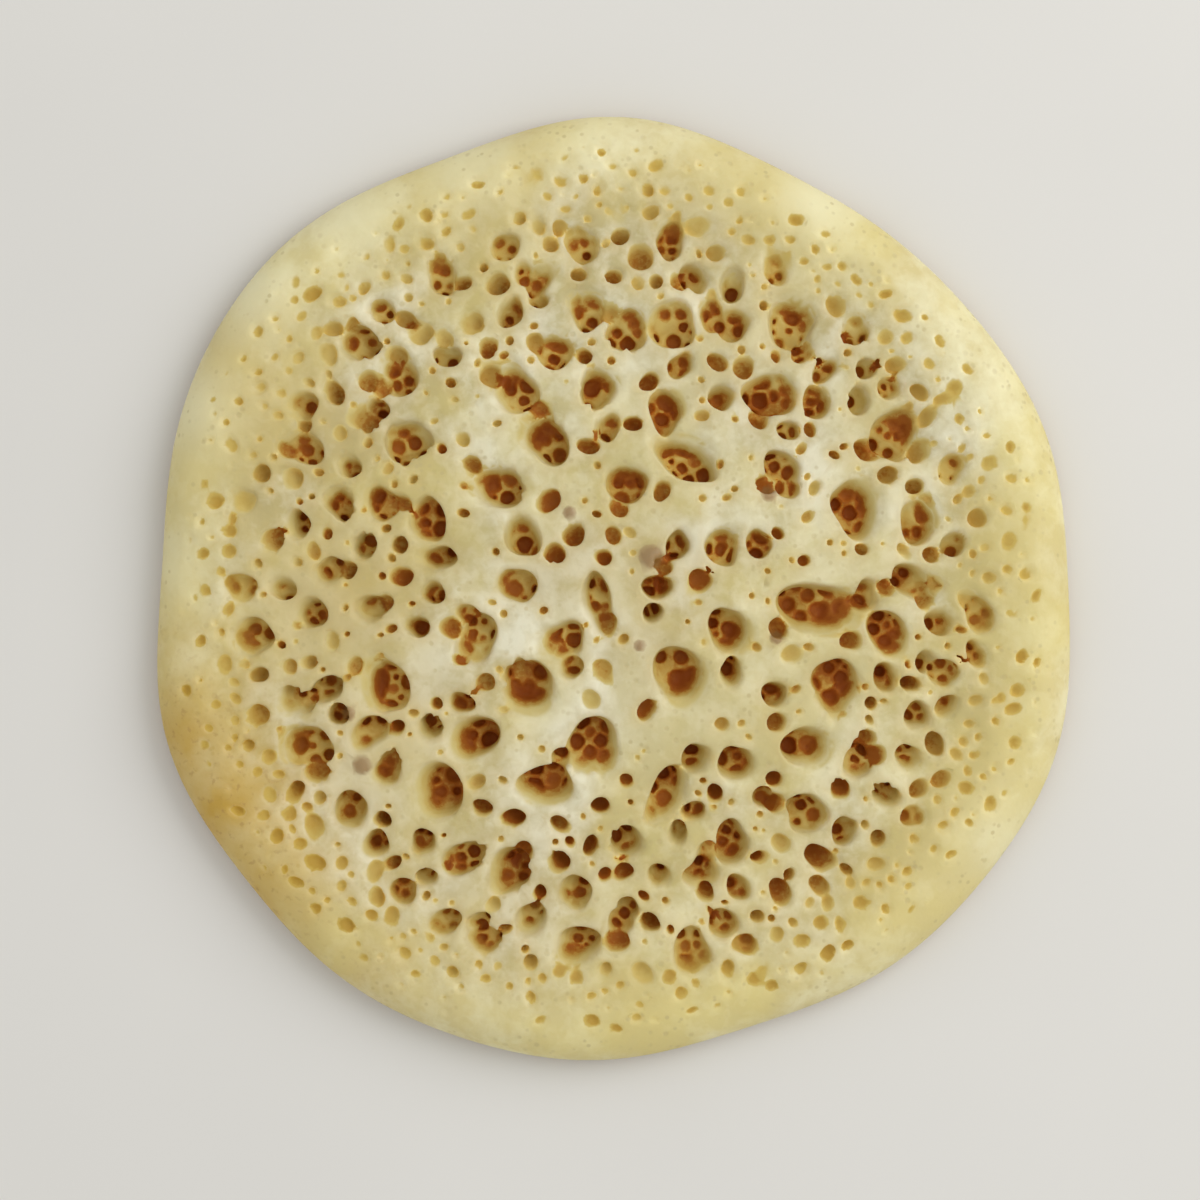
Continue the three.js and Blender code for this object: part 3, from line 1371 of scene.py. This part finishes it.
@dataclass(frozen=True)
class DoughFinish:
    """Moist griddled dough: pale skin, brown cells, a toasted border and base."""

    web: Colour = paint(238, 234, 208)
    golden: Colour = paint(183, 170, 116)
    butter: Colour = paint(221, 203, 115)
    # Amber for golden skin, and for painted shade in the skin's dips and shaded
    # stretches.
    amber_and_shade: Colour = paint(190, 166, 94)
    rim: Colour = paint(235, 227, 182)
    rim_golden: Colour = paint(214, 199, 140)
    # Painted shade: the darker tan laid on the skin round the pores, where air lies under
    # it.
    thin: Colour = paint(184, 164, 106)
    inside: Stops = (
        (0.0, paint(208, 194, 140)),
        (0.4, paint(202, 184, 120)),
        (0.9, paint(193, 168, 96)),
        (1.5, paint(180, 144, 70)),
        (1.9, paint(164, 112, 44)),
        (2.3, paint(150, 86, 28)),
        (4.0, paint(130, 63, 16)),
    )
    border: Stops = (
        (0.0, paint(214, 199, 138)),
        (0.4, paint(200, 174, 94)),
        (1.1, paint(181, 147, 67)),
        (4.0, paint(160, 106, 38)),
    )
    toast: Colour = paint(192, 153, 50)
    toast_speck: Colour = paint(160, 116, 48)
    blister: Colour = paint(142, 107, 62)
    speck: Colour = paint(186, 168, 112)
    base: Colour = paint(184, 132, 70)
    base_dark: Colour = paint(148, 94, 44)

    broad: Clouds = Clouds(24, 2.0, 0.4, (0.42, 0.66))
    cloudy: Clouds = Clouds(8, 2.0, 0.5, (0.38, 0.64))
    fine: Clouds = Clouds(3.6, 4.0, 0.3, (0.38, 0.68))
    grain: Clouds = Clouds(1.1, 4.0, 0.5, (0.36, 0.66))
    warmth: Clouds = Clouds(13, 3.0, 0.4, (0.36, 0.64))
    freckled: Clouds = Clouds(3.0, 1.0, 0.0, (0.4, 0.7))
    speckled: Clouds = Clouds(7, 1.0, 0.0, (0.48, 0.62))
    searing: Clouds = Clouds(0.8, 3.0, 0.0, (0.56, 0.72))
    mottle: Clouds = Clouds(5.0, 4.0, 0.2, (0.25, 0.75))
    wandering: Clouds = Clouds(1.6, 3.0)
    gritty: Clouds = Clouds(0.5, 3.0)
    toasting: Clouds = Clouds(4, 3.0)
    damp: Clouds = Clouds(2.5, 2.0)
    grainy: Clouds = Clouds(0.9, 4.0)
    lumpy: Clouds = Clouds(3.0, 2.0)
    freckles: Specks = Specks(1.1, 0.3, 0.12)
    specks: Specks = Specks(1.7, 0.26, 0.08)

    whole_web: Span = (0.4, 0.08)
    whole_ring: Span = (0.62, 0.84)
    whole_least: float = 0.4
    rim_ring: Span = (0.76, 0.92)
    border_ring: Span = (0.74, 0.88)
    grain_share: float = 0.5
    tint_contrast: float = 0.52
    tint_cut: float = 0.36
    whole_tint: float = 0.3
    butter_share: float = 0.48
    amber_and_shade_share: float = 0.2
    pore_shade_share: float = 0.55
    freckle_share: float = 0.55
    speck_share: float = 0.4
    blister_share: float = 0.85
    seared_share: float = 0.5
    toast_varies: float = 0.7
    toast_least: float = 0.5
    wander: float = 0.8
    wander_mean: float = 0.4
    grit: float = 1.3
    grit_mean: float = 0.5
    grit_depth: Span = (0.9, 1.8)
    hollow_depth: Span = (0.08, 0.5)
    unspecked: Span = (0.5, 0.0)
    matt: Span = (1.3, 0.0)
    rough_varies: float = 0.2
    rough_least: float = 0.5
    refraction: float = 1.42
    soft_weight: float = 0.9
    soft_colour: Colour = (1.0, 0.8, 0.55)
    soft_reach: float = 1.8
    bump_strength: float = 0.5
    bump_height: float = 0.12

    def skin(self, nodes: Wiring) -> Value:
        """Colour of the skin: pale on the webs between pores, golden where it is whole,
        with painted shade round the pores, golden tone and painted shade in broad
        patches, and painted light on the rim's shaded side.

        Args:
            nodes: The material's wiring.

        Returns:
            The colour.
        """
        share, broad = nodes.attribute("share"), nodes.clouds(self.broad)
        outer = share.rise(*self.whole_ring).math("MAXIMUM", self.whole_least)
        whole = nodes.attribute("web").rise(*self.whole_web) * outer
        grain = nodes.clouds(self.grain) * self.grain_share
        tint = broad + nodes.clouds(self.cloudy) + (grain + nodes.clouds(self.fine))
        tint = tint * self.tint_contrast - self.tint_cut + whole * self.whole_tint
        rim = share.rise(*self.rim_ring)
        pale = nodes.mix(rim, self.web, self.rim)
        dark = nodes.mix(rim, self.golden, self.rim_golden)
        colour = nodes.mix(tint, pale, dark)
        warm = nodes.clouds(self.warmth) * self.butter_share
        colour = nodes.mix(warm, colour, self.butter)
        # Golden tone and painted shade of the skin's dips, from broad clouds over whole
        # skin and from the patches.
        deep = broad * whole * self.amber_and_shade_share + nodes.attribute("gold_and_shade")
        colour = nodes.mix(deep, colour, self.amber_and_shade)
        # Paler patches of the skin, and painted light on the rim's shaded side.
        colour = nodes.mix(nodes.attribute("pale_and_lit"), colour, pale)
        # Painted shade round the pores: the skin is darkened where a pore lies under it.
        colour = nodes.mix(nodes.attribute("thin") * self.pore_shade_share, colour, self.thin)
        freckles = nodes.specks(self.freckles) * nodes.clouds(self.freckled)
        return nodes.mix(freckles * self.freckle_share, colour, self.speck)

    def cells(self, nodes: Wiring) -> Value:
        """Colour of the pores and their cells: the deeper, the browner.

        Args:
            nodes: The material's wiring.

        Returns:
            The colour.
        """
        wander = nodes.clouds(self.wandering) * self.wander
        depth = nodes.attribute("depth") - self.wander_mean + wander
        grit = nodes.clouds(self.gritty) - self.grit_mean
        depth = depth + grit * depth.rise(*self.grit_depth) * self.grit
        border = nodes.attribute("share").rise(*self.border_ring)
        inside = nodes.steps(depth, self.inside)
        return nodes.mix(border, inside, nodes.steps(depth, self.border))

    def browned(self, nodes: Wiring, colour: Value) -> Value:
        """A colour browned where the griddle did: the toasted stretch and the base.

        Args:
            nodes: The material's wiring.
            colour: The colour of the dough.

        Returns:
            The browned colour.
        """
        patchy = nodes.clouds(self.toasting) * self.toast_varies + self.toast_least
        toast = nodes.attribute("toast") * patchy
        colour = nodes.mix(toast, colour, self.toast)
        seared = nodes.clouds(self.searing) * toast * self.seared_share
        colour = nodes.mix(seared, colour, self.toast_speck)
        base = nodes.mix(nodes.clouds(self.mottle), self.base_dark, self.base)
        return nodes.mix(nodes.attribute("base"), colour, base)

    def material(self) -> bpy.types.Material:
        """Wires the finish.

        Returns:
            The material.
        """
        nodes = Wiring("qatayef_dough")
        nodes.shader.subsurface_method = "BURLEY"
        hollow = nodes.attribute("depth").rise(*self.hollow_depth)
        colour = nodes.mix(hollow, self.skin(nodes), self.cells(nodes))
        some = nodes.clouds(self.speckled) * hollow.rise(*self.unspecked)
        specks = nodes.specks(self.specks) * some
        colour = nodes.mix(specks * self.speck_share, colour, self.speck)
        blister = nodes.attribute("blister") * self.blister_share
        colour = nodes.mix(blister, colour, self.blister)
        bump = {
            "Height": nodes.clouds(self.grainy) + nodes.clouds(self.lumpy) - specks,
            "Strength": self.bump_strength,
            "Distance": self.bump_height * MM,
        }
        rough = nodes.clouds(self.damp) * self.rough_varies + self.rough_least
        return nodes.dress(
            {
                "Base Color": self.browned(nodes, colour),
                "Roughness": rough,
                "IOR": self.refraction,
                "Specular IOR Level": hollow.rise(*self.matt),
                "Subsurface Weight": self.soft_weight,
                "Subsurface Radius": self.soft_colour,
                "Subsurface Scale": self.soft_reach * MM,
                "Normal": nodes.add("Bump", "Normal", bump),
            }
        )


@dataclass(frozen=True)
class Patch:
    """A soft round patch of the skin that differs: where, how wide, how strongly."""

    degrees: float
    share: float
    reach: float
    strength: float


@dataclass
class Pancake:
    """The whole pancake: its dough with every pore, and its finish."""

    batter: Batter = field(default_factory=Batter)
    finish: DoughFinish = field(default_factory=DoughFinish)
    outline_bearings: int = 721
    # How much painted shade darkens the floor round each cell, and over which share of
    # the pore's depth.
    under_skin: Span = (0.08, 0.35)
    cell_halo: float = 0.7
    halo_rise: Span = (0.7, 1.0)
    web_under: float = 0.7
    web_outer: float = 0.93
    web_cells: int = 13
    # How far under the skin, and how near the air, the painted shade round the pores
    # reaches, and the ring it fades out over.
    pore_shade_under: float = 1.0
    pore_shade_air: Span = (-1.5, 0.1)
    pore_shade_ring: Span = (0.92, 0.84)
    blister_edge: Span = (0.62, 0.4)
    untoasted: float = 0.6
    base_edge: Span = (1.5, 0.15)
    toasts: tuple[Patch, ...] = (
        Patch(209, 0.97, 9.5, 1.1),
        Patch(200, 0.98, 8.5, 1.0),
        Patch(219, 0.98, 9.0, 0.9),
        Patch(188, 0.97, 6.0, 0.35),
        Patch(236, 0.97, 7.0, 0.3),
        Patch(150, 0.95, 8.0, 0.12),
    )
    # Patches where the skin is more golden: partly its own browning, partly painted shade
    # of dips and slopes.
    gold_and_shade_patches: tuple[Patch, ...] = (
        Patch(182, 0.6, 12.0, 0.75),
        Patch(212, 0.55, 11.0, 0.6),
        Patch(152, 0.7, 10.0, 0.45),
        Patch(250, 0.72, 13.0, 0.4),
        Patch(20, 0.1, 7.0, 0.5),
        Patch(150, 0.12, 6.0, 0.5),
        Patch(310, 0.12, 6.0, 0.5),
        Patch(62, 0.72, 8.0, 0.3),
        Patch(110, 0.93, 13.0, 0.3),
        Patch(72, 0.9, 11.0, 0.35),
        Patch(48, 0.9, 8.0, 0.2),
        Patch(298, 0.85, 9.0, 0.25),
    )
    # Paler patches of the skin; those at the very edge are painted light on the side of
    # the rim that the lamp leaves in shade.
    pale_and_lit_patches: tuple[Patch, ...] = (
        Patch(2, 0.5, 9.0, 0.2),
        Patch(35, 0.64, 7.0, 0.2),
        Patch(66, 0.48, 10.0, 0.3),
        Patch(92, 0.45, 8.0, 0.2),
        Patch(272, 0.25, 8.0, 0.35),
        Patch(306, 0.38, 7.0, 0.2),
        Patch(335, 0.5, 8.0, 0.2),
        Patch(62, 0.99, 4.5, 0.8),
        Patch(92, 0.99, 4.5, 0.4),
        Patch(108, 0.99, 5.0, 0.6),
        Patch(124, 0.99, 5.0, 0.7),
        Patch(140, 0.99, 5.0, 0.8),
        Patch(156, 0.99, 5.0, 0.8),
        Patch(176, 0.99, 4.5, 0.5),
        Patch(328, 0.99, 5.0, 0.5),
        Patch(225, 0.88, 5.0, 0.3),
    )

    def middle(self) -> Vector:
        """From the batter's own origin to the frame's.

        Returns:
            The shift in metres.
        """
        bearing = np.linspace(0, math.tau, self.outline_bearings)
        out = self.batter.outline_radius(bearing)
        low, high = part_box("pancake")
        shift = [
            (least + most) / 2 - MM * (places.min() + places.max()) / 2
            for least, most, places in zip(
                low, high, (out * np.cos(bearing), out * np.sin(bearing))
            )
        ]
        return Vector((*shift, low.z))

    @staticmethod
    def blur(grid: Grid, cells: int) -> Grid:
        """Spreads a flat map out over a square of cells, twice.

        Args:
            grid: The map.
            cells: The square's side.

        Returns:
            The spread map.
        """
        for axis in (0, 1, 0, 1):
            size = grid.shape[axis]
            pad = [(0, 0), (0, 0)]
            pad[axis] = (cells // 2 + 1, cells - cells // 2 - 1)
            total = np.cumsum(np.pad(grid, pad), axis)
            high = np.take(total, range(cells, size + cells), axis)
            grid = (high - np.take(total, range(size), axis)) / cells
        return grid

    @staticmethod
    def under(block: Block, below: float) -> Grid:
        """How far the air is from each place a little way under the skin.

        Args:
            block: The hollowed dough.
            below: How far under the skin, in millimetres.

        Returns:
            A flat map of distances, negative in the dough.
        """
        level = np.searchsorted(block.z, block.skin - below)
        level = np.clip(level, 0, len(block.z) - 1)
        return np.take_along_axis(block.dough, level[..., None], 2)[..., 0]

    def webs(self, block: Block) -> Grid:
        """How much of the skin round each place has burst.

        Args:
            block: The hollowed dough.

        Returns:
            A flat map of shares from 0 to 1.
        """
        x, y = np.meshgrid(block.x, block.y, indexing="ij")
        burst = self.under(block, self.web_under) > 0
        burst &= self.batter.share_out(x, y) < self.web_outer
        return self.blur(burst.astype(np.float32), self.web_cells)

    def marked(self, patches: tuple[Patch, ...], x: Grid, y: Grid) -> Grid:
        """How strongly patches mark each place.

        Args:
            patches: The patches.
            x: Places along X.
            y: Places along Y.

        Returns:
            The strength at each place, that of the strongest patch there.
        """
        strength = np.zeros_like(x)
        for patch in patches:
            cx, cy = self.batter.spot(patch.degrees, patch.share)
            near = np.exp(-(((x - cx) ** 2 + (y - cy) ** 2) / patch.reach**2))
            strength = np.maximum(strength, patch.strength * near)
        return strength

    def mark(self, mesh: bpy.types.Mesh, block: Block, shift: Vector) -> None:
        """Stores on the mesh what the finish needs to know at each point.

        Args:
            mesh: The pancake's mesh.
            block: The hollowed dough.
            shift: From the batter's own origin to the frame's, in metres.
        """
        x, y, z = ((Skin.places(mesh) - np.array(shift)) / MM).T
        share = self.batter.share_out(x, y)
        skin = self.batter.skin_height(x, y)
        whole = self.batter.solid(x, y, z[:, None], skin)[:, 0]
        under_skin = smoothstep(-whole, *self.under_skin)
        column = tuple(
            np.clip(np.searchsorted(axis, places), 0, len(axis) - 1)
            for axis, places in ((block.x, x), (block.y, y))
        )
        blister = np.zeros_like(x)
        for spot in block.blisters:
            away = np.hypot(x - spot.x, y - spot.y) / spot.width
            blister = np.maximum(blister, smoothstep(away, *self.blister_edge))
        note = {name: grid[column] for name, grid in block.notes.items()}
        down, floor = skin - z, note["floor"]
        depth = np.minimum(down, floor) * note["rich"]
        depth += note["deeper"] * np.maximum(down - floor, 0.0)
        # Painted shade darkens the floor round the cells, rising towards the pore's
        # floor.
        halo = smoothstep(down / floor, *self.halo_rise)
        depth += self.cell_halo * note["halo"] * halo
        # Painted shade: the skin darkens where air lies a millimetre under it, near the
        # pores.
        thin = smoothstep(self.under(block, self.pore_shade_under), *self.pore_shade_air)[column]
        toast = self.marked(self.toasts, x, y)
        values = {
            "depth": depth * under_skin,
            "share": share,
            "web": self.webs(block)[column],
            "thin": thin * smoothstep(share, *self.pore_shade_ring),
            "gold_and_shade": self.marked(self.gold_and_shade_patches, x, y),
            "pale_and_lit": self.marked(self.pale_and_lit_patches, x, y),
            "toast": toast * (1 - self.untoasted * under_skin),
            "blister": blister,
            "base": smoothstep(z, *self.base_edge) * (1 - under_skin),
        }
        for name, value in values.items():
            stored = mesh.attributes.new(name, "FLOAT", "POINT")
            stored.data.foreach_set("value", value.astype(np.float32))

    def build(self) -> bpy.types.Object:
        """Makes the pancake, dresses it and stands it in for the part's solid.

        Returns:
            The pancake.
        """
        shift = self.middle()
        bubbles = PoreField(self.batter)
        pores = bubbles.lay_out()
        crumb = Crumb(self.batter)
        LOG.info("%d pores over a crumb of %d cells", len(pores), len(crumb.cells))
        block = Block(self.batter, bubbles.blisters)
        for pore in pores:
            block.hollow(pore, crumb)
        for tear in TearField().lay_out(pores):
            block.crack(tear)
        mesh = Skin(block).mesh("qatayef", shift)
        self.mark(mesh, block, shift)
        mesh.materials.append(self.finish.material())
        pancake = put("qatayef_round", mesh)
        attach(pancake, "root")
        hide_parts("pancake")
        return pancake


@dataclass
class Studio:
    """A pale floor, plain soft light and a camera straight overhead, in metres."""

    floor_size: float = 3.0
    floor_level: float = -0.0001
    floor_colour: Colour = paint(228, 225, 218)
    floor_cloud: Colour = paint(220, 217, 210)
    floor_clouds: Clouds = Clouds(60, 3.0)
    floor_roughness: float = 0.8
    sky: float = 0.69
    sky_colour: Colour = (0.98, 0.99, 1.0)
    lamp_place: tuple[float, float, float] = (0.42, 0.2, 0.42)
    lamp_size: float = 0.5
    lamp_watts: float = 1.9
    camera_height: float = 0.6
    frame_width: float = 0.1296
    sensor_width: float = 36
    aim: Spot = (-0.00146, -0.00124)

    def floor(self) -> bpy.types.Object:
        """Makes the floor that the pancake lies on.

        Returns:
            The floor.
        """
        half = self.floor_size / 2
        mesh = bpy.data.meshes.new("floor")
        ring = [(-half, -half), (half, -half), (half, half), (-half, half)]
        mesh.from_pydata([(x, y, self.floor_level) for x, y in ring], [], [(0, 1, 2, 3)])
        nodes = Wiring("pale_floor")
        clouds = nodes.clouds(self.floor_clouds)
        colour = nodes.mix(clouds, self.floor_colour, self.floor_cloud)
        finish = {"Base Color": colour, "Roughness": self.floor_roughness}
        mesh.materials.append(nodes.dress(finish))
        floor = put("floor", mesh)
        return floor

    def lamp(self) -> bpy.types.Object:
        """Makes a soft square lamp that faces the pancake.

        Returns:
            The lamp.
        """
        light = bpy.data.lights.new("window", "AREA")
        light.size, light.energy = self.lamp_size, self.lamp_watts
        lamp = put("window", light)
        lamp.location = self.lamp_place
        away = -Vector(self.lamp_place)
        lamp.rotation_euler = away.to_track_quat("-Z", "Y").to_euler()
        return lamp

    def world(self) -> None:
        """Fills the room with even pale light."""
        world = bpy.data.worlds.new("soft_room")
        world.use_nodes = True
        background = world.node_tree.nodes["Background"]
        background.inputs["Color"].default_value = (*self.sky_colour, 1.0)
        background.inputs["Strength"].default_value = self.sky
        bpy.context.scene.world = world

    def camera(self) -> bpy.types.Object:
        """Hangs the camera straight over the pancake, with +Y up in its view.

        Returns:
            The camera.
        """
        data = bpy.data.cameras.new("overhead")
        data.sensor_width = self.sensor_width
        data.lens = data.sensor_width * self.camera_height / self.frame_width
        camera = put("overhead", data)
        camera.location = (*self.aim, self.camera_height)
        bpy.context.scene.camera = camera
        return camera

    def build(self) -> None:
        """Sets the whole studio up."""
        self.world()
        for piece in (self.floor(), self.lamp(), self.camera()):
            LOG.info("%s is in the studio", piece.name)
        bpy.context.scene.view_settings.view_transform = "Standard"


def main() -> None:
    """Builds the pancake and the studio."""
    logging.basicConfig(level=logging.INFO, format="%(name)s: %(message)s")
    pancake = Pancake().build()
    LOG.info("%s stands for the part's solid", pancake.name)
    Studio().build()


if __name__ == "__main__":
    main()
